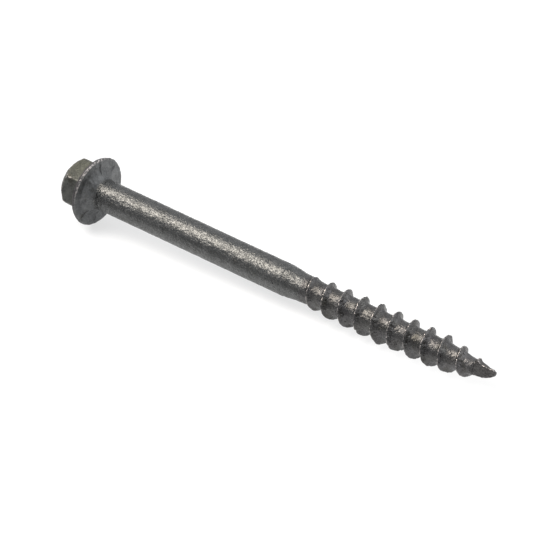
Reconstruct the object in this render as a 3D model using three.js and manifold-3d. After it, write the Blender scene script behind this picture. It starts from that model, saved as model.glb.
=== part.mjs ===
// A hex-washer-head wood screw lying on its side, in millimetres.
//
// +X runs along the screw from the head to the tip and +Z is up. The origin is the centre of the
// bearing face, the plane under the washer flange that seats on the timber.
//
// The real screw is one forging with a rolled thread. Here it is divided into the sections that its
// maker forms one after another, and each section meets the next on a flat plane square to the axis.
import * as THREE from "three";
import { mergeVertices } from "three/addons/utils/BufferGeometryUtils.js";
import Module from "manifold-3d";

// Driving dimensions.
const LENGTH = 101.6; // from the bearing face to the tip
const SHANK_RADIUS = 3.15;
const HEX_ACROSS_FLATS = 9.525;
const HEX_CORNER_ANGLE = THREE.MathUtils.degToRad(139.5); // about +X, from +Y towards +Z
const HEAD_HEIGHT = 6.1; // from the bearing face to the top of the hex
const FLANGE_RADIUS = 7.15;
const FLANGE_RIM = 0.55; // thickness of the flange at its edge
const FLANGE_EDGE = 0.12; // rounding of the rim's two edges
const HEX_CHAMFER_TOP_RADIUS = 4.72; // the flat circle left on top of the hex
const HEX_CHAMFER_DEPTH = 0.85; // along the axis, to the far edge of the cutter
const HEX_CHAMFER_OVERLAP = 0.12; // the cutter is this much larger than the hex's corners
const HEX_ROOT_X = -1.7; // where the flats run into the conical top of the flange
const NIB_COUNT = 8;
const NIB_ANGLE = THREE.MathUtils.degToRad(38); // one nib's angle about +X, from +Y towards +Z
const NIB_INNER_RADIUS = 3.4; // hidden inside the neck, which the nib grows out of
const NIB_OUTER_RADIUS = 6.7;
const NIB_HEIGHT = 0.28;
const NIB_WIDTH = 0.8;
const NIB_RUN_OUT = 0.45; // length of a nib's sloping end
const NIB_ROOT_DEPTH = 0.2; // how far a nib is sunk into the flange before the two are joined
const NECK_ROOT_RADIUS = 4.4; // the conical neck where it meets the bearing face
const NECK_LENGTH = 1.6;
const NECK_ROOT_X = 0.5; // the flange section carries the neck up to here, past the tops of the nibs
const NECK_CURVE = 1.2; // 1 is a straight cone, more is a hollower fillet
const SHANK_END_X = 51.2;
const THREAD_START_X = 55;
const POINT_START_X = 91;
const PITCH = 4.11; // one right-hand turn
const CREST_PHASE_X = 55.23; // a crest crosses the +Y direction here, and one pitch on, and so on
const CREST_HALF_WIDTH = 0.18;
const TOOTH_HALF_WIDTH = 0.62;

// Radius of the thread's core along the axis, as [x, radius], from the shank's taper to the blunt tip.
const CORE_PROFILE = [
  [SHANK_END_X, SHANK_RADIUS],
  [53.4, 2.86],
  [THREAD_START_X, 2.82],
  [58, 2.56],
  [74, 2.52],
  [89.5, 2.42],
  [95.6, 1.74],
  [97.2, 1.38],
  [99.2, 1.1],
  [100.9, 0.5],
  [LENGTH, 0.22],
];

// Radius of the thread's crest along the axis. It rises out of the core, and dies away into the tip.
const CREST_PROFILE = [
  [THREAD_START_X, 2.82],
  [58.2, 3.2],
  [61.6, 3.55],
  [75, 3.76],
  [88.8, 3.62],
  [92.6, 3.05],
  [97, 2.1],
  [99.2, 1.22],
  [LENGTH, 0.22],
];

// The notch that makes the tip a cutting point: a flat face along the axis and a step square to it.
const NOTCH_ANGLE = THREE.MathUtils.degToRad(171); // the way the notch faces, about +X from +Y
const NOTCH_START_X = 96.6;
const NOTCH_FLOOR_START = 1.05; // height of the notch's floor above the axis at the step
const NOTCH_FLOOR_END = 0.1; // and at the tip
const NOTCH_SIZE = 4; // the cutter reaches this far past the screw

// The dull zinc coat, by how the metal under it was worked.
const FORGED_ZINC = { color: 0x6a6c66, roughness: 0.6, metalness: 0.85 };
const DRAWN_ZINC = { color: 0x6f706c, roughness: 0.45, metalness: 0.85 };
const ROLLED_ZINC = { color: 0x666864, roughness: 0.5, metalness: 0.85 };
const CUT_ZINC = { color: 0x5c5c58, roughness: 0.5, metalness: 0.85 };

// Fineness of the mesh.
const ROUND_SEGMENTS = 64;
const THREAD_SPOKES = 36;
const NECK_STEPS = 4;

const wasm = await Module();
wasm.setup();

// ---- geometry helpers -----------------------------------------------------------------------

function toManifold(geometry) {
  const bare = geometry.clone();
  bare.deleteAttribute("normal");
  bare.deleteAttribute("uv");
  const merged = mergeVertices(bare);
  return new wasm.Manifold(
    new wasm.Mesh({
      numProp: 3,
      vertProperties: new Float32Array(merged.attributes.position.array),
      triVerts: new Uint32Array(merged.index.array),
    })
  );
}

function fromManifold(solid) {
  const mesh = solid.getMesh();
  const geometry = new THREE.BufferGeometry();
  geometry.setAttribute("position", new THREE.BufferAttribute(mesh.vertProperties, 3));
  geometry.setIndex(new THREE.BufferAttribute(mesh.triVerts, 1));
  geometry.computeVertexNormals();
  return geometry;
}

// A body of revolution about +X. The profile is a list of [x, radius], from the head to the tip.
function turned(profile) {
  const ends = [
    [profile[0][0], 0],
    ...profile,
    [profile.at(-1)[0], 0],
  ];
  const points = ends.map(([x, radius]) => new THREE.Vector2(radius, x));
  const geometry = new THREE.LatheGeometry(points, ROUND_SEGMENTS);
  // LatheGeometry turns its profile about +Y. Half a turn about the line between +X and +Y swaps the two.
  geometry.applyMatrix4(new THREE.Matrix4().makeBasis(
    new THREE.Vector3(0, 1, 0),
    new THREE.Vector3(1, 0, 0),
    new THREE.Vector3(0, 0, -1)
  ));
  return geometry;
}

function interpolate(profile, x) {
  const last = profile.length - 1;
  if (x <= profile[0][0]) return profile[0][1];
  if (x >= profile[last][0]) return profile[last][1];
  const next = profile.findIndex(([station]) => station > x);
  const [x0, r0] = profile[next - 1];
  const [x1, r1] = profile[next];
  return THREE.MathUtils.mapLinear(x, x0, x1, r0, r1);
}

function hexPrism(xStart, xEnd) {
  const circumradius = HEX_ACROSS_FLATS / Math.sqrt(3);
  const outline = new THREE.Shape();
  for (let corner = 0; corner < 6; corner += 1) {
    const angle = HEX_CORNER_ANGLE + (corner * Math.PI) / 3;
    const y = circumradius * Math.cos(angle);
    const z = circumradius * Math.sin(angle);
    if (corner === 0) outline.moveTo(y, z);
    else outline.lineTo(y, z);
  }
  outline.closePath();
  const geometry = new THREE.ExtrudeGeometry(outline, { depth: xEnd - xStart, bevelEnabled: false });
  // The outline was drawn as (y, z) and extruded along the third axis, which becomes +X.
  geometry.applyMatrix4(new THREE.Matrix4().makeBasis(
    new THREE.Vector3(0, 1, 0),
    new THREE.Vector3(0, 0, 1),
    new THREE.Vector3(1, 0, 0)
  ));
  geometry.translate(xStart, 0, 0);
  return geometry;
}

// ---- head -----------------------------------------------------------------------------------

function hexHead() {
  const top = -HEAD_HEIGHT;
  const cutterRadius = HEX_ACROSS_FLATS / Math.sqrt(3) + HEX_CHAMFER_OVERLAP;
  const chamfer = turned([
    [top, HEX_CHAMFER_TOP_RADIUS],
    [top + HEX_CHAMFER_DEPTH, cutterRadius],
    [HEX_ROOT_X, cutterRadius],
  ]);
  return fromManifold(toManifold(hexPrism(top, HEX_ROOT_X)).intersect(toManifold(chamfer)));
}

// One nib: a low ridge with a sharp top and sloping ends, pointing away from the axis along +Y.
function nib() {
  const halfWidth = NIB_WIDTH / 2;
  const root = [
    [-NIB_ROOT_DEPTH, NIB_INNER_RADIUS, -halfWidth],
    [-NIB_ROOT_DEPTH, NIB_OUTER_RADIUS, -halfWidth],
    [-NIB_ROOT_DEPTH, NIB_OUTER_RADIUS, halfWidth],
    [-NIB_ROOT_DEPTH, NIB_INNER_RADIUS, halfWidth],
  ];
  const foot = root.map(([, y, z]) => [0, y, z]);
  const ridge = [
    [NIB_HEIGHT, NIB_INNER_RADIUS + NIB_RUN_OUT, 0],
    [NIB_HEIGHT, NIB_OUTER_RADIUS - NIB_RUN_OUT, 0],
  ];
  const corners = [...root, ...foot, ...ridge];
  const faces = [
    [0, 3, 2], [0, 2, 1],
    [0, 1, 5], [0, 5, 4],
    [1, 2, 6], [1, 6, 5],
    [2, 3, 7], [2, 7, 6],
    [3, 0, 4], [3, 4, 7],
    [4, 5, 9], [4, 9, 8],
    [5, 6, 9],
    [6, 7, 8], [6, 8, 9],
    [7, 4, 8],
  ];
  const geometry = new THREE.BufferGeometry();
  geometry.setAttribute("position", new THREE.Float32BufferAttribute(corners.flat(), 3));
  geometry.setIndex(faces.flat());
  return geometry;
}

function washerFlange() {
  const hexInradius = HEX_ACROSS_FLATS / 2;
  const disc = turned([
    [HEX_ROOT_X, hexInradius],
    [-FLANGE_RIM, FLANGE_RADIUS - FLANGE_EDGE],
    [-FLANGE_RIM + FLANGE_EDGE, FLANGE_RADIUS],
    [-FLANGE_EDGE, FLANGE_RADIUS],
    [0, FLANGE_RADIUS - FLANGE_EDGE],
    ...neckProfile(0, NECK_ROOT_X),
  ]);
  let solid = toManifold(disc).add(toManifold(hexPrism(HEX_ROOT_X, -FLANGE_RIM)));
  for (let index = 0; index < NIB_COUNT; index += 1) {
    const turn = NIB_ANGLE + (index * 2 * Math.PI) / NIB_COUNT;
    solid = solid.add(toManifold(nib().rotateX(turn)));
  }
  return fromManifold(solid);
}

// ---- shank ----------------------------------------------------------------------------------

function neckRadius(x) {
  const left = 1 - x / NECK_LENGTH;
  return SHANK_RADIUS + (NECK_ROOT_RADIUS - SHANK_RADIUS) * left ** NECK_CURVE;
}

function neckProfile(xStart, xEnd) {
  const profile = [];
  for (let step = 0; step <= NECK_STEPS; step += 1) {
    const x = THREE.MathUtils.lerp(xStart, xEnd, step / NECK_STEPS);
    profile.push([x, neckRadius(x)]);
  }
  return profile;
}

function underHeadNeck() {
  return turned(neckProfile(NECK_ROOT_X, NECK_LENGTH));
}

function plainShank() {
  return turned([
    [NECK_LENGTH, SHANK_RADIUS],
    [SHANK_END_X, SHANK_RADIUS],
  ]);
}

function shankTaper() {
  return turned(CORE_PROFILE.filter(([x]) => x <= THREAD_START_X));
}

// ---- thread ---------------------------------------------------------------------------------

// Radius at a distance along the axis from the nearest crest.
function toothRadius(x, fromCrest) {
  const core = interpolate(CORE_PROFILE, x);
  const crest = Math.max(core, interpolate(CREST_PROFILE, x));
  const flank = (TOOTH_HALF_WIDTH - Math.abs(fromCrest)) / (TOOTH_HALF_WIDTH - CREST_HALF_WIDTH);
  return core + (crest - core) * THREE.MathUtils.clamp(flank, 0, 1);
}

// A length of thread between two planes. Its points lie on straight spokes along the core, and on each
// spoke they follow the corners of every tooth, which shift by one pitch over a whole turn.
function threaded(xStart, xEnd) {
  const rootGap = PITCH / 2 - TOOTH_HALF_WIDTH;
  const corners = [
    -PITCH / 2,
    -TOOTH_HALF_WIDTH - rootGap / 2,
    -TOOTH_HALF_WIDTH,
    -CREST_HALF_WIDTH,
    CREST_HALF_WIDTH,
    TOOTH_HALF_WIDTH,
    TOOTH_HALF_WIDTH + rootGap / 2,
  ];
  const firstTooth = Math.floor((xStart - CREST_PHASE_X) / PITCH) - 2;
  const lastTooth = Math.ceil((xEnd - CREST_PHASE_X) / PITCH) + 1;
  const positions = [];
  for (let spoke = 0; spoke <= THREAD_SPOKES; spoke += 1) {
    const turn = spoke / THREAD_SPOKES;
    const angle = 2 * Math.PI * turn;
    for (let tooth = firstTooth; tooth <= lastTooth; tooth += 1) {
      const crestX = CREST_PHASE_X + PITCH * (tooth + turn);
      for (const offset of corners) {
        const x = THREE.MathUtils.clamp(crestX + offset, xStart, xEnd);
        const fromCrest = wrapToPitch(x - crestX);
        const radius = toothRadius(x, fromCrest);
        positions.push(x, radius * Math.cos(angle), radius * Math.sin(angle));
      }
    }
  }
  const perSpoke = (lastTooth - firstTooth + 1) * corners.length;
  const startCentre = positions.length / 3;
  const endCentre = startCentre + 1;
  positions.push(xStart, 0, 0, xEnd, 0, 0);

  const faces = [];
  for (let spoke = 0; spoke < THREAD_SPOKES; spoke += 1) {
    const here = spoke * perSpoke;
    const next = here + perSpoke;
    faces.push([startCentre, next, here]);
    faces.push([endCentre, here + perSpoke - 1, next + perSpoke - 1]);
    for (let step = 0; step < perSpoke - 1; step += 1) {
      faces.push([here + step, next + step, next + step + 1]);
      faces.push([here + step, next + step + 1, here + step + 1]);
    }
  }
  return weld(positions, faces);
}

// The same distance along the axis, measured from the nearest crest of the same thread.
function wrapToPitch(distance) {
  return distance - PITCH * Math.round(distance / PITCH);
}

// Joins points in the same place and drops the faces that this leaves with no area.
function weld(positions, faces) {
  const loose = new THREE.BufferGeometry();
  loose.setAttribute("position", new THREE.Float32BufferAttribute(positions, 3));
  loose.setIndex(faces.flat());
  const merged = mergeVertices(loose);
  const index = merged.index.array;
  const kept = [];
  for (let corner = 0; corner < index.length; corner += 3) {
    const [a, b, c] = index.slice(corner, corner + 3);
    if (a !== b && b !== c && c !== a) kept.push(a, b, c);
  }
  merged.setIndex(kept);
  merged.computeVertexNormals();
  return merged;
}

function threadedShank() {
  return threaded(THREAD_START_X, POINT_START_X);
}

function cuttingPoint() {
  const side = new THREE.Shape();
  side.moveTo(NOTCH_START_X, NOTCH_FLOOR_START);
  side.lineTo(LENGTH + NOTCH_SIZE, NOTCH_FLOOR_END);
  side.lineTo(LENGTH + NOTCH_SIZE, NOTCH_SIZE);
  side.lineTo(NOTCH_START_X, NOTCH_SIZE);
  side.closePath();
  const cutter = new THREE.ExtrudeGeometry(side, { depth: 2 * NOTCH_SIZE, bevelEnabled: false });
  cutter.translate(0, 0, -NOTCH_SIZE);
  cutter.rotateX(NOTCH_ANGLE);
  const whole = toManifold(threaded(POINT_START_X, LENGTH));
  return fromManifold(whole.subtract(toManifold(cutter)));
}

// ---- the screw ------------------------------------------------------------------------------

const screw = new THREE.Group();

function addSection(name, geometry, finish) {
  const mesh = new THREE.Mesh(geometry, new THREE.MeshStandardMaterial(finish));
  mesh.name = name;
  screw.add(mesh);
}

addSection("hex_head", hexHead(), FORGED_ZINC);
addSection("washer_flange", washerFlange(), FORGED_ZINC);
addSection("under_head_neck", underHeadNeck(), FORGED_ZINC);
addSection("plain_shank", plainShank(), DRAWN_ZINC);
addSection("shank_taper", shankTaper(), DRAWN_ZINC);
addSection("threaded_shank", threadedShank(), ROLLED_ZINC);
addSection("cutting_point", cuttingPoint(), CUT_ZINC);

export default screw;
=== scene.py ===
# The looks of a hex-washer-head wood screw, dull with zinc, lying on a pale floor.
#
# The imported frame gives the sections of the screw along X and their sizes. The whole surface is made
# once, as one grid of rings and spokes from the top of the head to the tip. It is then cut where the
# frame's sections meet, so that each section is a closed piece of its own and no seam shows.
# The grid is worked out in millimetres, and becomes metres as a piece is made.
import math

import bpy
import numpy as np
from mathutils import Matrix, Vector


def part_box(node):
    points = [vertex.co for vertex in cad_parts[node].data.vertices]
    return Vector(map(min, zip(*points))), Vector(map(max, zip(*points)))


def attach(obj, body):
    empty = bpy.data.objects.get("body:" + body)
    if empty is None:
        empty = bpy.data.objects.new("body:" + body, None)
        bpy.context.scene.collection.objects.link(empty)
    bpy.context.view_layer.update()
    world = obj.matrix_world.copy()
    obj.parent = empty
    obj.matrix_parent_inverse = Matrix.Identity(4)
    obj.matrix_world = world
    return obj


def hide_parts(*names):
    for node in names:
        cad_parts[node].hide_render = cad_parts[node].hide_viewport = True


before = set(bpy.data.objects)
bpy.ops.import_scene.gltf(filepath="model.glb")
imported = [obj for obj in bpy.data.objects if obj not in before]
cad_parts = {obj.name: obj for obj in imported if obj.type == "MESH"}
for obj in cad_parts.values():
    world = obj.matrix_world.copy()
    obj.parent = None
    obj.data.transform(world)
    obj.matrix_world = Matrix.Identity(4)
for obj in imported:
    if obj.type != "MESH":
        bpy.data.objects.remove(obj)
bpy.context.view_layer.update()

MM = 0.001
FULL_TURN = 2 * math.pi


def section(node):
    """Where a CAD section starts and ends along X, and how far it reaches from the axis, in mm."""
    low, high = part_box(node)
    return low.x / MM, high.x / MM, high.z / MM


HEAD_TOP_X, HEX_ROOT_X, _ = section("hex_head")
_, NECK_ROOT_X, FLANGE_RADIUS = section("washer_flange")
_, NECK_END_X, _ = section("under_head_neck")
_, SHANK_END_X, SHANK_RADIUS = section("plain_shank")
_, THREAD_START_X, _ = section("shank_taper")
_, POINT_START_X, _ = section("threaded_shank")
_, POINT_END_X, _ = section("cutting_point")

# ---- the shape, the wear and the painted light and shade of the head -----------------------------

HEX_ACROSS_FLATS = 9.525
HEX_CORNER_ANGLE = math.radians(139.5)  # about +X, from +Y towards +Z
HEX_ROUNDING = math.radians(2.2)  # how softly the corners turn, as an angle at the axis
HEX_SHIFT = 0.03  # the hex was struck a little off the shank's axis
CHAMFER_TOP_RADIUS = 4.35  # of the round edge of the flat top
CHAMFER_SLOPE = 1.05  # along the axis for each step outwards
DISH_RADIUS = 3.3  # the shallow dish that the forging punch leaves on top
DISH_DEPTH = 0.12
RIM_BACK_X = -0.85  # where the cone behind the flange turns into its rim
RIM_BACK_RADIUS = 6.92
RIM_X = -0.16  # the widest part of the rim
RIM_FLARE = 0.11  # how far the zinc makes the rim stand out
RIM_FRONT_X = 0.02
RIM_FRONT_RADIUS = 6.9
NECK_RADIUS = 5.2  # where the hollow fillet of the neck leaves the bearing face
NECK_REACH = 2.5  # how far the fillet runs along the shank
NECK_CURVE = 2.8  # how hollow it is: 1 would be a plain cone
NIB_ANGLE = math.radians(38)  # the first of the serrations under the flange, from +Y towards +Z
NIB_HEIGHTS = (0.17, 0.22, 0.09, 0.09, 0.24, 0.19, 0.14, 0.12)
NIB_COUNT = len(NIB_HEIGHTS)
NIB_STEEP_SIDE = 0.34  # how wide the serration's two sides are
NIB_LONG_SIDE = 0.52
NIB_INNER_RADIUS = 4.1
NIB_OUTER_RADIUS = 6.75
NIB_RUN_OUT = 0.7  # the length over which it sinks away at its outer end
# How far the painted shadow line beside each serration lies to the side of its ridge.
CREASE_SHADOW_SIDES = (0.34, 0.34, 0.34, 0.34, -0.14, -0.14, -0.14, -0.14)
CREASE_SHADOW_WIDTH = 0.15
CREASE_SHADOW_DARKNESS = 0.75
RIM_HIGHLIGHT_ANGLE = math.radians(118)  # the rim's front edge carries a painted highlight round here, where the softbox shines in it, and a little wear elsewhere
RIM_HIGHLIGHT_SPREAD = math.radians(31)
RIM_HIGHLIGHT_ELSEWHERE = 0.08
OIL_SHADE_ANGLE = math.radians(100)  # the hex is tinted darker and more olive round here, on its uppermost side: painted shade over a tint of old oil, which covers the rest of the hex more thinly
OIL_SHADE_SPREAD = math.radians(42)
OIL_SHADE_ELSEWHERE = 0.42
RIM_HIGHLIGHT_SHINE = 2.4  # past 1, so that the rim's painted highlight stays bright where the noise breaks it up
# Painted shade, laid on as the brown tint, on the back of the rim and the cone before it, which face away
# from the light.
BEHIND_RIM_SHADE = 1.2
LEAN_ANGLE = math.radians(51.6)  # the way the hex is shifted, the tip is bent and the view is aimed

# ---- the shape, the wear and the painted light and shade of the thread and the point -------------

COAT = 0.095  # how far the zinc stands out from the bare screw
PITCH = 4.11
CREST_PHASE_X = 55.23  # a crest crosses the +Y direction here
CREST_WIDTH_BACK = 0.36  # half the tooth's width on the side towards the head
CREST_WIDTH_FRONT = 0.51
CREST_SQUARENESS = 3.2
HELIX_RADIUS = 3  # the thread's noise is read on a cylinder of this radius
CREST_LINE_SHIFT = -0.04  # the worn line, with its painted highlight, is a little to the head's side of the crest
CREST_LINE_WIDTH = 0.1
GROOVE_SHADOW_SHIFT = 0.46  # a line of painted shadow follows the worn line, this much nearer the head
# The radius at each x, under the thread and on its crest.
CORE_PROFILE = (
    (51.2, 3.15),
    (53.4, 2.86),
    (55.0, 2.8),
    (58.0, 2.56),
    (74.0, 2.5),
    (89.5, 2.42),
    (92.5, 2.1),
    (95.6, 1.72),
    (97.0, 1.4),
    (99.2, 1.11),
    (100.0, 0.82),
    (100.6, 0.7),
    (101.2, 0.48),
    (101.6, 0.28),
)
CREST_PROFILE = (
    (54.0, 2.8),
    (55.6, 2.98),
    (58.2, 3.22),
    (61.6, 3.55),
    (68.0, 3.62),
    (75.0, 3.78),
    (79.0, 3.64),
    (88.8, 3.62),
    (92.6, 3.05),
    (94.8, 2.62),
    (97.0, 2.1),
    (98.6, 1.3),
    (100.0, 0.9),
    (101.6, 0.2),
)
TIP_X = POINT_END_X - 0.3  # the very tip is broken off blunt
NOTCH_ANGLE = math.radians(171)  # the way the notch's flat floor faces
NOTCH_START_X = 96.6
NOTCH_FLOOR_START = 0.85  # how far the floor is from the axis where it starts, and at the tip
NOTCH_FLOOR_END = 0.1
NOTCH_LEAST_FACING = 0.05  # spokes that point further from the floor's way than this stay uncut
NOTCH_LIP = 0.36  # a ridge of metal that the cut left along the top of the notch
NOTCH_LIP_ANGLE = math.radians(72)
NOTCH_LIP_SPREAD = math.radians(45)
NOTCH_EASING = 6  # passes of smoothing round the point
TIP_BEND_START_X = 99.6
TIP_BEND = 0.5  # how far the tip is bent off the axis
TIP_BEND_CURVE = 1.5
LAP_DEPTH = 0.22  # metal rolled over the crest leaves laps, this much lower as a share of its rise
THREAD_OIL = 0.25  # how oily the thread is at most
POINT_BROWN = 0.12

# ---- fineness of the grid ------------------------------------------------------------------------

SPOKES = 240
CENTRE_RADIUS = 0.12  # the first ring, round the middle of the head's top
TOP_STEPS = 26
CHAMFER_STEPS = 7
FLAT_STEPS = 36
CONE_STEPS = 18
RIM_STEPS = 7
EDGE_STEPS = 5
BEARING_STEPS = 26
NECK_FOOT_STEPS = 5
NECK_STEPS = 10
SHANK_STEP = 0.14
TAPER_STEP = 0.12
THREAD_STEP = 0.1
POINT_STEP = 0.08
ROUNDING_PASSES = 3
PROFILE_SOFTNESS = 0.5  # mm over which a profile turns from one slope to the next
HEX_BLUR = np.linspace(-1.5, 1.5, 13)  # the turns, in HEX_ROUNDING, that a corner is averaged over

spokes = np.arange(SPOKES) * FULL_TURN / SPOKES


# ---- noise ---------------------------------------------------------------------------------------


def cell_value(cell, seed):
    """A number from 0 to 1 for each cell of a lattice, always the same for one cell and seed."""
    x, y, z = (cell[..., axis].astype(np.uint64) for axis in range(3))
    mixed = x * np.uint64(374761393) + y * np.uint64(668265263) + z * np.uint64(2147483647)
    mixed = mixed + np.uint64(seed) * np.uint64(1274126177)
    mixed = (mixed ^ (mixed >> np.uint64(13))) * np.uint64(1274126177)
    mixed = (mixed ^ (mixed >> np.uint64(16))) * np.uint64(2246822519)
    return ((mixed ^ (mixed >> np.uint64(15))) & np.uint64(0xFFFF)) / 0xFFFF


def noise(points, size, seed):
    """Smooth noise from -1 to 1 at points in mm, with lumps about size across."""
    scaled = points / size + 1000.5
    cell = np.floor(scaled).astype(np.int64)
    part = scaled - cell
    fade = part * part * (3 - 2 * part)
    total = np.zeros(points.shape[:-1])
    for corner in np.ndindex(2, 2, 2):
        weight = np.ones(points.shape[:-1])
        for axis in range(3):
            share = fade[..., axis]
            weight = weight * (share if corner[axis] else 1 - share)
        total += weight * cell_value(cell + np.array(corner), seed)
    return 2 * total - 1


# Layers of noise: how strong each is, how big its lumps are in mm, and its seed.
COAT_LUMPS = ((0.02, 2.6, 1), (0.014, 1.1, 2))
COAT_GRAINS = ((0.034, 0.44, 3), (0.014, 0.3, 4))
EDGE_KNOCKS = ((0.05, 0.8, 5),)
CREST_WIDTHS = ((0.18, 1.7, 31), (0.14, 0.6, 32))
CREST_HEIGHTS = ((0.1, 1.1, 33), (0.07, 0.5, 34))
CREST_LAPS = ((1, 0.9, 35),)
THREAD_OIL_PATCHES = ((1, 2.2, 41),)


def layered(points, layers):
    """The sum of several layers of noise."""
    return sum(strength * noise(points, size, seed) for strength, size, seed in layers)


# ---- small helpers -------------------------------------------------------------------------------


def blend_step(value, start, end):
    """0 before start, 1 after end, and a smooth rise between them."""
    share = np.clip((value - start) / (end - start), 0, 1)
    return share * share * (3 - 2 * share)


def along(profile, x):
    """The radius of a profile at x, with its corners rounded off."""
    stations, radii = zip(*profile)
    total = np.zeros_like(x)
    shifts = np.linspace(-PROFILE_SOFTNESS, PROFILE_SOFTNESS, 9)
    weights = 1 - np.abs(shifts) / (PROFILE_SOFTNESS * 1.25)
    for shift, weight in zip(shifts, weights):
        total += weight * np.interp(x + shift, stations, radii)
    return total / weights.sum()


def angle_between(angle, other):
    """The turn from other to angle, between half a turn back and half a turn on."""
    return (angle - other + math.pi) % FULL_TURN - math.pi


def polar(points):
    """How far each point is from the screw's axis, and its angle about it from +Y towards +Z."""
    return np.hypot(points[..., 1], points[..., 2]), np.arctan2(points[..., 2], points[..., 1])


# ---- the rings of the grid -----------------------------------------------------------------------


def hex_radius():
    """How far the hex reaches from its axis along each spoke, with its corners rounded."""
    flat = HEX_ACROSS_FLATS / 2
    total = np.zeros(SPOKES)
    for shift in HEX_BLUR:
        turned = spokes + shift * HEX_ROUNDING - HEX_CORNER_ANGLE
        from_flat = (turned % (math.pi / 3)) - math.pi / 6
        weight = math.exp(-shift * shift)
        total += weight * flat / np.cos(from_flat)
    return total / np.exp(-(HEX_BLUR**2)).sum() + COAT


def shank_radius(x):
    """The plain shank's radius, with the hollow fillet that spreads out to the bearing face."""
    share = np.clip(1 - x / NECK_REACH, 0, 1) ** NECK_CURVE
    plain = SHANK_RADIUS + COAT
    return plain + (NECK_RADIUS - plain) * share


def head_rings():
    """The head's rings as (x, radius) rows, from the middle of its top to the end of the neck.

    It gives the rows, and the row numbers where the flange and the neck start."""
    corner = hex_radius()
    top_edge = np.minimum(corner, CHAMFER_TOP_RADIUS)
    cone_slope = (RIM_BACK_X - HEX_ROOT_X) / (RIM_BACK_RADIUS - HEX_ACROSS_FLATS / 2)
    root_x = HEX_ROOT_X + (corner - HEX_ACROSS_FLATS / 2) * cone_slope
    outline = [
        (HEAD_TOP_X, CENTRE_RADIUS, 0),
        (HEAD_TOP_X, top_edge, TOP_STEPS),
        (HEAD_TOP_X + (corner - top_edge) * CHAMFER_SLOPE, corner, CHAMFER_STEPS),
        (root_x, corner, FLAT_STEPS),
        (RIM_BACK_X, RIM_BACK_RADIUS, CONE_STEPS),
        (RIM_X, FLANGE_RADIUS + RIM_FLARE, RIM_STEPS),
        (RIM_FRONT_X, RIM_FRONT_RADIUS, EDGE_STEPS),
        (0, NECK_RADIUS, BEARING_STEPS),
    ]
    neck_x = list(np.linspace(0, NECK_ROOT_X, NECK_FOOT_STEPS + 1)[1:])
    neck_x += list(np.linspace(NECK_ROOT_X, NECK_END_X, NECK_STEPS + 1)[1:])
    for x in neck_x:
        outline.append((x, shank_radius(x), 1))
    rows = []
    last = None
    for x, radius, steps in outline:
        here = np.array([np.broadcast_to(x, SPOKES), np.broadcast_to(radius, SPOKES)], float)
        if last is None:
            rows.append(here)
        for step in range(steps):
            rows.append(last + (here - last) * (step + 1) / steps)
        last = here
    flange_row = TOP_STEPS + CHAMFER_STEPS + FLAT_STEPS
    neck_row = flange_row + CONE_STEPS + RIM_STEPS + EDGE_STEPS + BEARING_STEPS + NECK_FOOT_STEPS
    return np.array(rows), flange_row, neck_row


def rounded(rows, passes):
    """Rows with their sharp turns eased by averaging each row with its neighbours."""
    for _ in range(passes):
        middle = (rows[:-2] + 2 * rows[1:-1] + rows[2:]) / 4
        rows = np.concatenate([rows[:1], middle, rows[-1:]])
    return rows


def stations(start, end, step):
    """Evenly spaced x from just after start up to end."""
    count = max(1, round((end - start) / step))
    return np.linspace(start, end, count + 1)[1:]


def to_points(x, radius):
    """Points on every spoke, at each x and radius."""
    return np.stack([x, radius * np.cos(spokes), radius * np.sin(spokes)], axis=-1)


def eased_round(radius, passes):
    """Radii eased from spoke to spoke, so that an edge that runs along the screw is not razor sharp."""
    for _ in range(passes):
        radius = (np.roll(radius, 1, axis=1) + 2 * radius + np.roll(radius, -1, axis=1)) / 4
    return radius


def on_helix(x):
    """Points at which the thread's noise is read."""
    return to_points(x, np.full_like(x, HELIX_RADIUS))


def crest_distance(x):
    """How far each x and spoke is from the nearest crest along the axis, and below 0 on its head side."""
    turn = (x - CREST_PHASE_X) / PITCH - spokes / FULL_TURN
    return PITCH * (turn - np.round(turn))


def tooth(x):
    """1 on the thread's crest and 0 between two turns."""
    distance = crest_distance(x)
    helix = on_helix(x)
    width = np.where(distance < 0, CREST_WIDTH_BACK, CREST_WIDTH_FRONT)
    width = width * (1 + layered(helix, CREST_WIDTHS))
    return 1 / (1 + (np.abs(distance) / width) ** CREST_SQUARENESS)


def crest_line(x):
    """1 along the narrow worn line on top of the thread's crest, where the crest is high enough. The line
    carries wear and a painted highlight, and moved towards the head it places a painted shadow.
    """
    distance = crest_distance(x) - CREST_LINE_SHIFT
    height = along(CREST_PROFILE, x) - along(CORE_PROFILE, x)
    return np.exp(-((distance / CREST_LINE_WIDTH) ** 2)) * blend_step(height, 0.05, 0.3)


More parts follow.
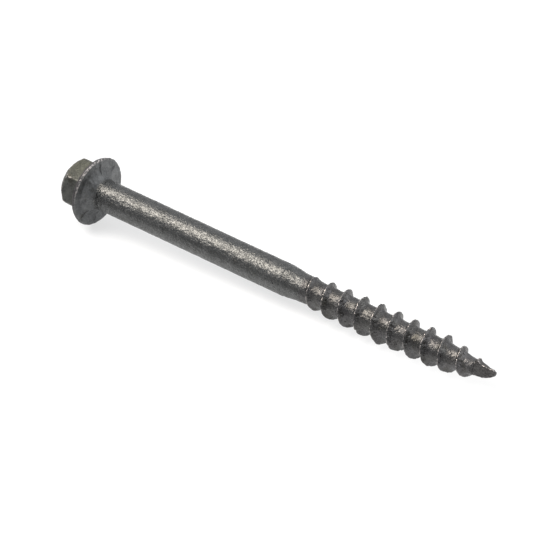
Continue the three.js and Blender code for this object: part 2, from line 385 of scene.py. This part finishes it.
def thread_radius(x):
    """The thread's radius at each x and spoke: the core, the tooth, and the notch in the tip."""
    core = along(CORE_PROFILE, x)
    crest = np.maximum(along(CREST_PROFILE, x), core)
    helix = on_helix(x)
    rise = (crest - core) * tooth(x)
    uneven = layered(helix, CREST_HEIGHTS)
    laps = blend_step(layered(helix, CREST_LAPS), 0.45, 0.8)
    radius = core + rise * (1 + (uneven - LAP_DEPTH * laps) * np.clip(rise, 0, 1))
    lip_angle = angle_between(spokes, NOTCH_LIP_ANGLE) / NOTCH_LIP_SPREAD
    lip_start = blend_step(x, NOTCH_START_X + 0.2, NOTCH_START_X + 0.9)
    lip_end = blend_step(-x, -TIP_X, -TIP_X + 0.7)
    radius = radius + NOTCH_LIP * np.exp(-lip_angle * lip_angle) * (lip_start * lip_end)
    share = (x - NOTCH_START_X) / (TIP_X - NOTCH_START_X)
    floor_height = NOTCH_FLOOR_START + (NOTCH_FLOOR_END - NOTCH_FLOOR_START) * share
    facing = np.cos(spokes - NOTCH_ANGLE)
    cut = floor_height / np.maximum(facing, NOTCH_LEAST_FACING)
    inside = (x > NOTCH_START_X) & (facing > NOTCH_LEAST_FACING)
    radius = np.where(inside, np.minimum(radius, cut), radius)
    return np.where(x > NOTCH_START_X - 0.5, eased_round(radius, NOTCH_EASING), radius)


def nib_turns(angle):
    """How far each angle is round from the ridge of each serration."""
    return [angle_between(angle, NIB_ANGLE + nib * FULL_TURN / NIB_COUNT) for nib in range(NIB_COUNT)]


def nib_height(points):
    """How far the serrations stand out of the bearing face at each point."""
    radius, angle = polar(points)
    total = np.zeros_like(radius)
    for turned, height in zip(nib_turns(angle), NIB_HEIGHTS):
        side = turned * radius
        width = np.where(side < 0, NIB_LONG_SIDE, NIB_STEEP_SIDE)
        total += height * blend_step(-np.abs(side) / width, -1, -0.1)
    end = 1 - blend_step(radius, NIB_OUTER_RADIUS - NIB_RUN_OUT, NIB_OUTER_RADIUS)
    return total * end


def nib_crease_shadows(points):
    """How dark the painted shadow is along the line beside each serration."""
    radius, angle = polar(points)
    dark = np.zeros_like(radius)
    for turned, height, crease in zip(nib_turns(angle), NIB_HEIGHTS, CREASE_SHADOW_SIDES):
        side = (turned - crease / NIB_OUTER_RADIUS) * radius / CREASE_SHADOW_WIDTH
        dark += np.exp(-side * side) * (height / max(NIB_HEIGHTS)) ** 2
    start = blend_step(radius, NIB_INNER_RADIUS - 0.4, NIB_INNER_RADIUS + 0.4)
    end = 1 - blend_step(radius, NIB_OUTER_RADIUS - 0.3, NIB_OUTER_RADIUS)
    return CREASE_SHADOW_DARKNESS * dark * start * end


def change_along(grid):
    """How a grid of vectors changes from one ring to the next."""
    return np.gradient(grid, axis=0)


def change_round(grid):
    """How a grid of vectors changes from one spoke to the next."""
    return (np.roll(grid, -1, axis=1) - np.roll(grid, 1, axis=1)) / 2


def surface_normals(points):
    """The outward normal at each point of the grid."""
    normals = np.cross(change_round(points), change_along(points))
    return normals / np.maximum(np.linalg.norm(normals, axis=-1, keepdims=True), 1e-9)


def bulge(points, normals):
    """How fast the normal turns outwards at each point, in radians per mm, summed over both directions."""
    total = 0
    for change in (change_along, change_round):
        step = change(points)
        turn = change(normals)
        total = total + (step * turn).sum(-1) / np.maximum((step * step).sum(-1), 1e-6)
    return total


def whole_surface():
    """The screw's whole surface, and the row at which each section starts."""
    head, flange_row, neck_row = head_rings()
    head = rounded(head, ROUNDING_PASSES)
    x = np.concatenate(
        [
            stations(NECK_END_X, SHANK_END_X, SHANK_STEP),
            stations(SHANK_END_X, THREAD_START_X, TAPER_STEP),
            stations(THREAD_START_X, POINT_START_X, THREAD_STEP),
            stations(POINT_START_X, TIP_X, POINT_STEP),
        ]
    )
    starts = [0, flange_row, neck_row, len(head) - 1]
    for end in (SHANK_END_X, THREAD_START_X, POINT_START_X, TIP_X):
        starts.append(len(head) + int(np.searchsorted(x, end - 1e-6)))
    column = np.repeat(x[:, None], SPOKES, axis=1)
    radius = np.where(column < SHANK_END_X - 1, shank_radius(column), thread_radius(column))
    body = np.stack([column, radius], axis=1)
    rows = np.concatenate([head, body])
    points = to_points(rows[:, 0], rows[:, 1])
    return points, starts


def shaped(points):
    """The surface with its nibs, its dish, the off-centre hex and the bent tip."""
    points = points.copy()
    lean = np.array([0, math.cos(LEAN_ANGLE), math.sin(LEAN_ANGLE)])
    x = points[..., 0]
    radius, _ = polar(points)
    top = blend_step(-x, -HEAD_TOP_X - 0.05, -HEAD_TOP_X - 0.01)
    dish = DISH_DEPTH * (1 - blend_step(radius, DISH_RADIUS - 0.9, DISH_RADIUS + 0.4)) * top
    under = blend_step(x, -0.1, 0) * blend_step(-x, -1.2, -0.4)
    points[..., 0] += dish + nib_height(points) * under
    hex_share = blend_step(-x, -HEX_ROOT_X - 0.9, -HEX_ROOT_X)
    points += (HEX_SHIFT * hex_share)[..., None] * lean
    bend = TIP_BEND * np.clip((x - TIP_BEND_START_X) / (TIP_X - TIP_BEND_START_X), 0, 1) ** TIP_BEND_CURVE
    points += bend[..., None] * lean
    return points


def weathered(points):
    """The surface with the lumps of its zinc coat, and how sharply each point bulged before them."""
    normals = surface_normals(points)
    sharpness = bulge(points, normals)
    edge = np.clip(sharpness / 3, 0, 1)[..., None]
    coat = layered(points, COAT_LUMPS) + layered(points, COAT_GRAINS)
    knocks = layered(points, EDGE_KNOCKS)[..., None] * edge
    moved = points + normals * coat[..., None] + normals * knocks
    return moved, sharpness


# ---- making the pieces ---------------------------------------------------------------------------


def ring_faces(rows):
    """Outward quads between the rings of a piece."""
    first = np.arange(rows - 1)[:, None] * SPOKES
    here = np.arange(SPOKES)[None, :]
    following = (here + 1) % SPOKES
    quads = [first + here, first + following, first + SPOKES + following, first + SPOKES + here]
    return np.stack(quads, axis=-1).reshape(-1, 4)


def cap_faces(ring_start, centre, forwards):
    """A fan of triangles that closes one end of a piece."""
    here = np.arange(SPOKES)
    following = (here + 1) % SPOKES
    if not forwards:
        here, following = following, here
    middle = np.full(SPOKES, centre)
    return np.stack([middle, ring_start + here, ring_start + following], axis=-1)


def make_piece(name, surface, normals, values, first, last):
    """One closed piece of the surface, from ring first to ring last."""
    rows = last - first + 1
    rings = surface[first : last + 1].reshape(-1, 3)
    ring_normals = normals[first : last + 1].reshape(-1, 3)
    ends = [surface[first].mean(axis=0), surface[last].mean(axis=0)]
    points = np.concatenate([rings, ends]) * MM
    facing = np.concatenate([ring_normals, [[-1, 0, 0], [1, 0, 0]]])
    faces = ring_faces(rows).tolist()
    faces += cap_faces(0, rows * SPOKES, False).tolist()
    faces += cap_faces((rows - 1) * SPOKES, rows * SPOKES + 1, True).tolist()
    mesh = bpy.data.meshes.new(name)
    mesh.from_pydata(points.tolist(), [], faces)
    mesh.shade_smooth()
    mesh.normals_split_custom_set_from_vertices(facing.tolist())
    for label, value in values.items():
        layer = mesh.attributes.new(label, "FLOAT", "POINT")
        piece_values = value[first : last + 1].reshape(-1)
        layer.data.foreach_set("value", np.concatenate([piece_values, [0, 0]]).astype(np.float32))
    piece = bpy.data.objects.new(name, mesh)
    bpy.context.scene.collection.objects.link(piece)
    return piece


# ---- materials -----------------------------------------------------------------------------------

STAIN_COLOUR = (0.07, 0.066, 0.05)
# Painted shade on the hex's uppermost side, and the tint of old oil.
OIL_AND_SHADE_TINT = (0.72, 0.715, 0.6)
# Painted shade behind the rim, and a brown tint on the point.
BROWN_AND_SHADE_TINT = (0.62, 0.57, 0.59)
# Painted shade in hollows, along the back of the crests and beside the serrations.
PAINTED_SHADE_COLOUR = (0.035, 0.033, 0.032)
# Worn zinc, and painted highlights on edges, crests and the rim.
WORN_AND_HIGHLIGHT_COLOUR = (0.72, 0.67, 0.65)
PIT_COLOUR = (0.03, 0.028, 0.026)
SPECK_BRIGHTNESS = 1.28
# How big the lumps of each kind of mottling are, in mm.
BLOTCH_SIZE = 1.6
SPECK_SIZE = 0.34
SPECK_PATCH_SIZE = 3.5
STAIN_SIZE = 2.3
WEAR_AND_HIGHLIGHT_SIZE = 0.42
PIT_SIZE = 0.62
GRAIN_SIZE = 0.36
BUMP_SIZE = 0.3
BUMP_DEPTH = 0.1  # mm


def new_node(tree, kind, **settings):
    node = tree.nodes.new(kind)
    for setting, value in settings.items():
        setattr(node, setting, value)
    return node


def noise_node(tree, place, size_mm, detail, roughness=0.55):
    """Procedural noise with lumps of about size_mm."""
    node = new_node(tree, "ShaderNodeTexNoise")
    node.inputs["Scale"].default_value = 1 / (size_mm * MM)
    node.inputs["Detail"].default_value = detail
    node.inputs["Roughness"].default_value = roughness
    tree.links.new(place, node.inputs["Vector"])
    return node.outputs["Fac"]


def ranged(tree, value, low, high, to_low, to_high):
    """value, from low to high, becomes to_low to to_high smoothly."""
    node = new_node(tree, "ShaderNodeMapRange", interpolation_type="SMOOTHSTEP")
    numbers = {"From Min": low, "From Max": high, "To Min": to_low, "To Max": to_high}
    for socket, number in numbers.items():
        node.inputs[socket].default_value = number
    tree.links.new(value, node.inputs["Value"])
    return node.outputs["Result"]


def product(tree, first, second):
    node = new_node(tree, "ShaderNodeMath", operation="MULTIPLY")
    tree.links.new(first, node.inputs[0])
    tree.links.new(second, node.inputs[1])
    return node.outputs[0]


def mixed_colour(tree, share, first, second):
    """first where share is 0 and second where it is 1. Each is a colour or a socket."""
    node = new_node(tree, "ShaderNodeMix", data_type="RGBA")
    tree.links.new(share, node.inputs["Factor"])
    for socket, colour in ((node.inputs[6], first), (node.inputs[7], second)):
        if isinstance(colour, tuple):
            socket.default_value = (*colour, 1)
        else:
            tree.links.new(colour, socket)
    return node.outputs[2]


def attribute(tree, name):
    return new_node(tree, "ShaderNodeAttribute", attribute_name=name).outputs["Fac"]


def tinted(tree, colour, amount, tint):
    """The colour, multiplied by the tint as far as the piece's own amount says."""
    node = new_node(tree, "ShaderNodeMix", data_type="RGBA", blend_type="MULTIPLY")
    tree.links.new(attribute(tree, amount), node.inputs["Factor"])
    tree.links.new(colour, node.inputs[6])
    node.inputs[7].default_value = (*tint, 1)
    return node.outputs[2]


def zinc(name, dark, light, roughness, speckle, stain_amount=0.5):
    """Dull zinc: two greys in blotches and specks, with stains, old oil and a brown tint over them; the oil
    and the brown tint also carry painted shade.

    It is brighter where it is worn and where highlights are painted, and darker where shade is painted and
    where it is pitted. Its roughness varies by the speckle from grain to grain, which makes it sparkle."""
    material = bpy.data.materials.new(name)
    material.use_nodes = True
    tree = material.node_tree
    shader = tree.nodes["Principled BSDF"]
    place = new_node(tree, "ShaderNodeTexCoord").outputs["Object"]
    blotches = ranged(tree, noise_node(tree, place, BLOTCH_SIZE, 5), 0.36, 0.66, 0, 1)
    specks = ranged(tree, noise_node(tree, place, SPECK_SIZE, 3), 0.4, 0.62, 0, 1)
    colour = mixed_colour(tree, blotches, dark, light)
    speck_colour = tuple(SPECK_BRIGHTNESS * part for part in light)
    speck_patches = ranged(tree, noise_node(tree, place, SPECK_PATCH_SIZE, 2), 0.3, 0.7, 0.25, 0.7)
    colour = mixed_colour(tree, product(tree, specks, speck_patches), colour, speck_colour)
    stains = ranged(tree, noise_node(tree, place, STAIN_SIZE, 6, 0.6), 0.54, 0.72, 0, stain_amount)
    colour = mixed_colour(tree, stains, colour, STAIN_COLOUR)
    # Painted shade on the hex's uppermost side, over the tint of old oil.
    colour = tinted(tree, colour, "oil_and_shade", OIL_AND_SHADE_TINT)
    # The brown tint on the point, and painted shade behind the rim.
    colour = tinted(tree, colour, "brown_and_shade", BROWN_AND_SHADE_TINT)
    # Painted shade in hollows, along the back of the crests and beside the serrations.
    painted_shade = ranged(tree, attribute(tree, "painted_shade"), 0.1, 1, 0, 0.85)
    colour = mixed_colour(tree, painted_shade, colour, PAINTED_SHADE_COLOUR)
    # Wear and painted highlights on edges, crests and the rim, broken up by noise.
    wear_and_highlight_break = ranged(tree, noise_node(tree, place, WEAR_AND_HIGHLIGHT_SIZE, 3), 0.44, 0.58, 0.1, 1)
    worn_and_highlight = ranged(tree, product(tree, attribute(tree, "worn_and_highlight"), wear_and_highlight_break), 0, 1, 0, 1)
    colour = mixed_colour(tree, worn_and_highlight, colour, WORN_AND_HIGHLIGHT_COLOUR)
    pits = ranged(tree, noise_node(tree, place, PIT_SIZE, 2), 0.24, 0.31, 0.85, 0)
    colour = mixed_colour(tree, pits, colour, PIT_COLOUR)
    tree.links.new(colour, shader.inputs["Base Color"])
    shader.inputs["Metallic"].default_value = 1.0
    grains = noise_node(tree, place, GRAIN_SIZE, 1)
    rough = ranged(tree, grains, 0.38, 0.62, roughness - speckle, roughness + speckle)
    tree.links.new(rough, shader.inputs["Roughness"])
    bump = new_node(tree, "ShaderNodeBump")
    bump.inputs["Strength"].default_value = 1.0
    bump.inputs["Distance"].default_value = BUMP_DEPTH * MM
    tree.links.new(noise_node(tree, place, BUMP_SIZE, 2, 0.5), bump.inputs["Height"])
    tree.links.new(bump.outputs["Normal"], shader.inputs["Normal"])
    return material


def make_materials():
    """One finish for each material slot of the record: its two greys, roughness and speckle."""
    return {
        "forged_zinc": zinc("forged_zinc", (0.146, 0.15, 0.152), (0.213, 0.218, 0.22), 0.5, 0.06),
        "drawn_zinc": zinc("drawn_zinc", (0.132, 0.134, 0.133), (0.184, 0.186, 0.186), 0.28, 0.2, 0.3),
        "rolled_zinc": zinc("rolled_zinc", (0.11, 0.106, 0.109), (0.165, 0.163, 0.163), 0.31, 0.11),
        "cut_zinc": zinc("cut_zinc", (0.137, 0.133, 0.134), (0.198, 0.193, 0.195), 0.31, 0.11),
    }


# ---- the stage -----------------------------------------------------------------------------------

FLOOR_SIZE = 1.2  # metres
FLOOR_REST_X = 88.8  # the screw lies on its flange and on the crest here
FLOOR_REST_RADIUS = 3.62
FLOOR_GAP = 0.02  # a hair's breadth between the floor and the flange
FLOOR_GREY = 0.3
FLOOR_GLOW = 0.65
# In the metal the floor looks dimmer by these shares, from near to far on the camera's side of the axis.
FLOOR_NEAR = 4
FLOOR_FAR = 26
FLOOR_DIM_NEAR = 0.34
FLOOR_DIM_FAR = 0.75
FLOOR_DIM_BEHIND = 0.6  # the part of that dimness which is left on the floor behind the screw
# The shadow on the floor grows faint from one x to the other, beside the tip and beside the head.
FLOOR_FADE_START = 55
FLOOR_FADE_END = 86
FLOOR_FADE = 0.8
HEAD_FADE_START = 2
HEAD_FADE_END = -10
HEAD_FADE = 0.55
FADED_GLOW = 1.02  # about as pale as the open floor

KEY_DIRECTION = (-0.54, -0.29, 0.79)
KEY_STRENGTH = 3.8
KEY_SPREAD = math.radians(55)
BACKDROP_STRENGTH = 1.1  # what the camera sees past the floor
# Each light of the studio: where it is, within how many degrees of that it is full, past how many
# it has ended, and its colour.
STUDIO_LIGHTS = (
    ((-0.35, 0.15, 0.92), 0, 150, (0.585, 0.59, 0.6)),  # the even surround
    (KEY_DIRECTION, 8, 24, (4.75, 4.37, 3.85)),  # the warm softbox
    ((0.25, 0.75, 0.7), 10, 50, (0.25, 0.26, 0.27)),  # a faint fill from behind the screw
    ((0.68, 0.42, 0.6), 12, 34, (0.75, 0.75, 0.75)),  # a second softbox, for views from behind
)

VIEW_AZIMUTH = math.radians(39.14)
VIEW_ELEVATION = math.radians(31.59)
VIEW_DISTANCE = 0.9617  # metres
LENS = 320.6
SENSOR_WIDTH = 36
AIM_X = 46.75
AIM_DROP = 0.12
CAMERA_LEVEL = math.radians(2.16)  # the camera is level with the floor, which tilts about +Y


def floor_tilt():
    """How far the screw's axis dips from the head to the tip, as an angle."""
    return math.atan2(FLANGE_RADIUS - FLOOR_REST_RADIUS, FLOOR_REST_X)


def floor_material():
    """Pale and even, with a shadow that fades towards the tip and beside the head.

    In the metal's reflections it is dimmer, and dimmest far from the screw on the camera's side."""
    material = bpy.data.materials.new("pale_floor")
    material.use_nodes = True
    tree = material.node_tree
    tree.nodes.clear()
    paper = new_node(tree, "ShaderNodeBsdfDiffuse")
    paper.inputs["Color"].default_value = (FLOOR_GREY, FLOOR_GREY, FLOOR_GREY, 1)
    glow = new_node(tree, "ShaderNodeEmission")
    glow.inputs["Strength"].default_value = FLOOR_GLOW
    pale = new_node(tree, "ShaderNodeAddShader")
    tree.links.new(paper.outputs[0], pale.inputs[0])
    tree.links.new(glow.outputs[0], pale.inputs[1])
    place = new_node(tree, "ShaderNodeTexCoord").outputs["Object"]
    across = new_node(tree, "ShaderNodeSeparateXYZ")
    tree.links.new(place, across.inputs[0])
    bright = new_node(tree, "ShaderNodeEmission")
    bright.inputs["Strength"].default_value = FADED_GLOW
    faded = new_node(tree, "ShaderNodeMixShader")
    x = across.outputs["X"]
    by_tip = ranged(tree, x, FLOOR_FADE_START * MM, FLOOR_FADE_END * MM, 0, FLOOR_FADE)
    by_head = ranged(tree, x, HEAD_FADE_END * MM, HEAD_FADE_START * MM, HEAD_FADE, 0)
    both = new_node(tree, "ShaderNodeMath", operation="ADD")
    tree.links.new(by_tip, both.inputs[0])
    tree.links.new(by_head, both.inputs[1])
    tree.links.new(both.outputs[0], faded.inputs[0])
    tree.links.new(pale.outputs[0], faded.inputs[1])
    tree.links.new(bright.outputs[0], faded.inputs[2])
    y = across.outputs["Y"]
    dimness = ranged(tree, y, -FLOOR_FAR * MM, -FLOOR_NEAR * MM, FLOOR_DIM_FAR, FLOOR_DIM_NEAR)
    dimness = product(tree, dimness, ranged(tree, y, 0, FLOOR_NEAR * MM, 1, FLOOR_DIM_BEHIND))
    reflected = new_node(tree, "ShaderNodeLightPath").outputs["Is Glossy Ray"]
    dark = new_node(tree, "ShaderNodeEmission")
    dark.inputs["Strength"].default_value = 0
    mix = new_node(tree, "ShaderNodeMixShader")
    tree.links.new(product(tree, dimness, reflected), mix.inputs[0])
    tree.links.new(faded.outputs[0], mix.inputs[1])
    tree.links.new(dark.outputs[0], mix.inputs[2])
    output = new_node(tree, "ShaderNodeOutputMaterial")
    tree.links.new(mix.outputs[0], output.inputs["Surface"])
    return material


def make_floor():
    """The pale floor, under the flange and the thread."""
    half = FLOOR_SIZE / 2
    corner_wear_and_highlight = [(-half, -half, 0), (half, -half, 0), (half, half, 0), (-half, half, 0)]
    mesh = bpy.data.meshes.new("floor")
    mesh.from_pydata(corner_wear_and_highlight, [], [(0, 1, 2, 3)])
    mesh.materials.append(floor_material())
    floor = bpy.data.objects.new("floor", mesh)
    bpy.context.scene.collection.objects.link(floor)
    floor.rotation_euler = (0, -floor_tilt(), 0)
    floor.location = (0, 0, -FLANGE_RADIUS * MM / math.cos(floor_tilt()) - FLOOR_GAP * MM)


def make_camera():
    camera = bpy.data.objects.new("camera", bpy.data.cameras.new("camera"))
    bpy.context.scene.collection.objects.link(camera)
    back = Vector(
        (
            math.sin(VIEW_AZIMUTH) * math.cos(VIEW_ELEVATION),
            -math.cos(VIEW_AZIMUTH) * math.cos(VIEW_ELEVATION),
            math.sin(VIEW_ELEVATION),
        )
    )
    up = Vector((-math.sin(CAMERA_LEVEL), 0, math.cos(CAMERA_LEVEL)))
    right = up.cross(back).normalized()
    top = back.cross(right)
    lean = Vector((0, math.cos(LEAN_ANGLE), math.sin(LEAN_ANGLE)))
    aim = Vector((AIM_X, 0, 0)) - lean * AIM_DROP
    camera.rotation_mode = "QUATERNION"
    camera.rotation_quaternion = Matrix((right, top, back)).transposed().to_quaternion()
    camera.location = aim * MM + back * VIEW_DISTANCE
    camera.data.lens = LENS
    camera.data.sensor_width = SENSOR_WIDTH
    camera.data.clip_start = 0.05
    camera.data.clip_end = 10
    bpy.context.scene.camera = camera


def lobe(tree, direction, towards, inner, outer, colour):
    """Light from round one direction: full within inner degrees of it and none past outer degrees."""
    dot = new_node(tree, "ShaderNodeVectorMath", operation="DOT_PRODUCT")
    tree.links.new(direction, dot.inputs[0])
    dot.inputs[1].default_value = Vector(towards).normalized()
    none, full = math.cos(math.radians(outer)), math.cos(math.radians(inner))
    share = ranged(tree, dot.outputs["Value"], none, full, 0, 1)
    scale = new_node(tree, "ShaderNodeVectorMath", operation="SCALE")
    scale.inputs[0].default_value = colour
    tree.links.new(share, scale.inputs["Scale"])
    return scale.outputs[0]


def make_key():
    """The softbox's own shadow on the floor. The metal sees the softbox in the studio round it."""
    key = bpy.data.objects.new("key", bpy.data.lights.new("key", "SUN"))
    bpy.context.scene.collection.objects.link(key)
    key.data.energy = KEY_STRENGTH
    key.data.angle = KEY_SPREAD
    key.rotation_mode = "QUATERNION"
    key.rotation_quaternion = Vector(KEY_DIRECTION).to_track_quat("Z", "Y")
    key.visible_glossy = False


def make_light():
    """A soft studio, which the metal sees, and a plain white backdrop, which the camera sees."""
    world = bpy.data.worlds.new("studio")
    bpy.context.scene.world = world
    world.use_nodes = True
    tree = world.node_tree
    tree.nodes.clear()
    direction = new_node(tree, "ShaderNodeTexCoord").outputs["Generated"]
    lights = [lobe(tree, direction, *light) for light in STUDIO_LIGHTS]
    total = lights[0]
    for light in lights[1:]:
        add = new_node(tree, "ShaderNodeVectorMath", operation="ADD")
        tree.links.new(total, add.inputs[0])
        tree.links.new(light, add.inputs[1])
        total = add.outputs[0]
    studio = new_node(tree, "ShaderNodeBackground")
    tree.links.new(total, studio.inputs["Color"])
    backdrop = new_node(tree, "ShaderNodeBackground")
    backdrop.inputs["Color"].default_value = (1, 1, 1, 1)
    backdrop.inputs["Strength"].default_value = BACKDROP_STRENGTH
    seen = new_node(tree, "ShaderNodeLightPath").outputs["Is Camera Ray"]
    mix = new_node(tree, "ShaderNodeMixShader")
    tree.links.new(seen, mix.inputs[0])
    tree.links.new(studio.outputs[0], mix.inputs[1])
    tree.links.new(backdrop.outputs[0], mix.inputs[2])
    output = new_node(tree, "ShaderNodeOutputWorld")
    tree.links.new(mix.outputs[0], output.inputs["Surface"])
    bpy.context.scene.view_settings.view_transform = "Standard"


# ---- everything together -------------------------------------------------------------------------

SECTIONS = (
    ("hex_head", "forged_zinc"),
    ("washer_flange", "forged_zinc"),
    ("under_head_neck", "forged_zinc"),
    ("plain_shank", "drawn_zinc"),
    ("shank_taper", "drawn_zinc"),
    ("threaded_shank", "rolled_zinc"),
    ("cutting_point", "cut_zinc"),
)


def round_one_angle(angle, middle, spread, elsewhere):
    """1 at one angle about the axis, and elsewhere's value well away from it."""
    return elsewhere + (1 - elsewhere) * np.exp(-((angle_between(angle, middle) / spread) ** 2))


def wear_and_highlight(x, radius, angle, sharpness, on_thread, on_point):
    """How worn the coat is, with painted highlights: on the hex's corners, the flange's rim, the crests and
    the cut point.
    """
    whole_hex = blend_step(-x, -HEX_ROOT_X - 0.5, -HEX_ROOT_X)
    # The hex corners' wear carries a painted highlight, stronger towards the top of the head.
    above_root = blend_step(-x, -HEX_ROOT_X + 0.8, -HEX_ROOT_X + 2.2)
    corner_wear_and_highlight = blend_step(sharpness, 0.7, 2.6) * (0.1 + 0.9 * above_root) * whole_hex
    crest_wear_and_highlight = crest_line(np.maximum(x, THREAD_START_X)) * on_thread * (1 - on_point)
    cut_edge_wear_and_highlight = blend_step(sharpness, 1.8, 4) * on_point
    at_front = blend_step(x, RIM_X - 0.08, RIM_X)
    shoulder = at_front * blend_step(radius, RIM_FRONT_RADIUS - 0.16, RIM_FRONT_RADIUS - 0.06)
    # The rim's front edge gets a painted highlight where the softbox shines in it.
    rim_highlight = round_one_angle(angle, RIM_HIGHLIGHT_ANGLE, RIM_HIGHLIGHT_SPREAD, RIM_HIGHLIGHT_ELSEWHERE)
    on_body = np.maximum(corner_wear_and_highlight, np.maximum(crest_wear_and_highlight, cut_edge_wear_and_highlight))
    return np.maximum(on_body, RIM_HIGHLIGHT_SHINE * shoulder * rim_highlight)


def finish_values(surface, sharpness):
    """How worn and brightened by painted highlights, how darkened by painted shade, how brown and how oily
    the coat is at each point, the brown and the oil also carrying painted shade: 0 is not at all, and 1 or
    more is fully.
    """
    x = surface[..., 0]
    radius, angle = polar(surface)
    on_thread = blend_step(x, THREAD_START_X - 2, THREAD_START_X)
    on_neck = blend_step(x, -0.3, -0.15) * blend_step(-x, -4, -2)
    on_point = blend_step(x, NOTCH_START_X, NOTCH_START_X + 0.4)
    # Painted shadow behind each crest.
    groove_shadows = crest_line(np.maximum(x + GROOVE_SHADOW_SHIFT, THREAD_START_X)) * on_thread * (1 - on_point)
    # Painted shadow beside each serration.
    crease_shadows = nib_crease_shadows(surface) * blend_step(x, -0.3, -0.15) * blend_step(-x, -1, -0.6)
    # Painted shade in hollows, where the surface bends inwards.
    hollow_shade = blend_step(-sharpness, 0.6, 3) * (1 - on_neck)
    # Painted shade on the back of the rim, which faces away from the light.
    behind_rim_shade = blend_step(x, RIM_BACK_X - 0.4, RIM_BACK_X) * blend_step(-x, -RIM_X, -RIM_X + 0.1)
    # Painted shade on the hex's uppermost side, with old oil spread more thinly round it.
    uppermost = round_one_angle(angle, OIL_SHADE_ANGLE, OIL_SHADE_SPREAD, OIL_SHADE_ELSEWHERE)
    hex_oil_and_shade = uppermost * blend_step(-x, -HEX_ROOT_X - 0.6, -HEX_ROOT_X + 0.4)
    patches = blend_step(layered(surface, THREAD_OIL_PATCHES), -0.3, 0.5)
    return {
        "worn_and_highlight": wear_and_highlight(x, radius, angle, sharpness, on_thread, on_point),
        "painted_shade": np.maximum(hollow_shade, np.maximum(groove_shadows, crease_shadows)),
        "brown_and_shade": np.maximum(BEHIND_RIM_SHADE * behind_rim_shade, POINT_BROWN * on_point),
        "oil_and_shade": np.maximum(hex_oil_and_shade, THREAD_OIL * on_thread * patches),
    }


def make_screw():
    points, starts = whole_surface()
    surface, sharpness = weathered(shaped(points))
    normals = surface_normals(surface)
    values = finish_values(surface, sharpness)
    materials = make_materials()
    for number, (node, slot) in enumerate(SECTIONS):
        piece = make_piece(node + "_finish", surface, normals, values, starts[number], starts[number + 1])
        piece.data.materials.append(materials[slot])
        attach(piece, "root")
        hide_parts(node)


make_camera()
make_light()
make_key()
make_floor()
make_screw()
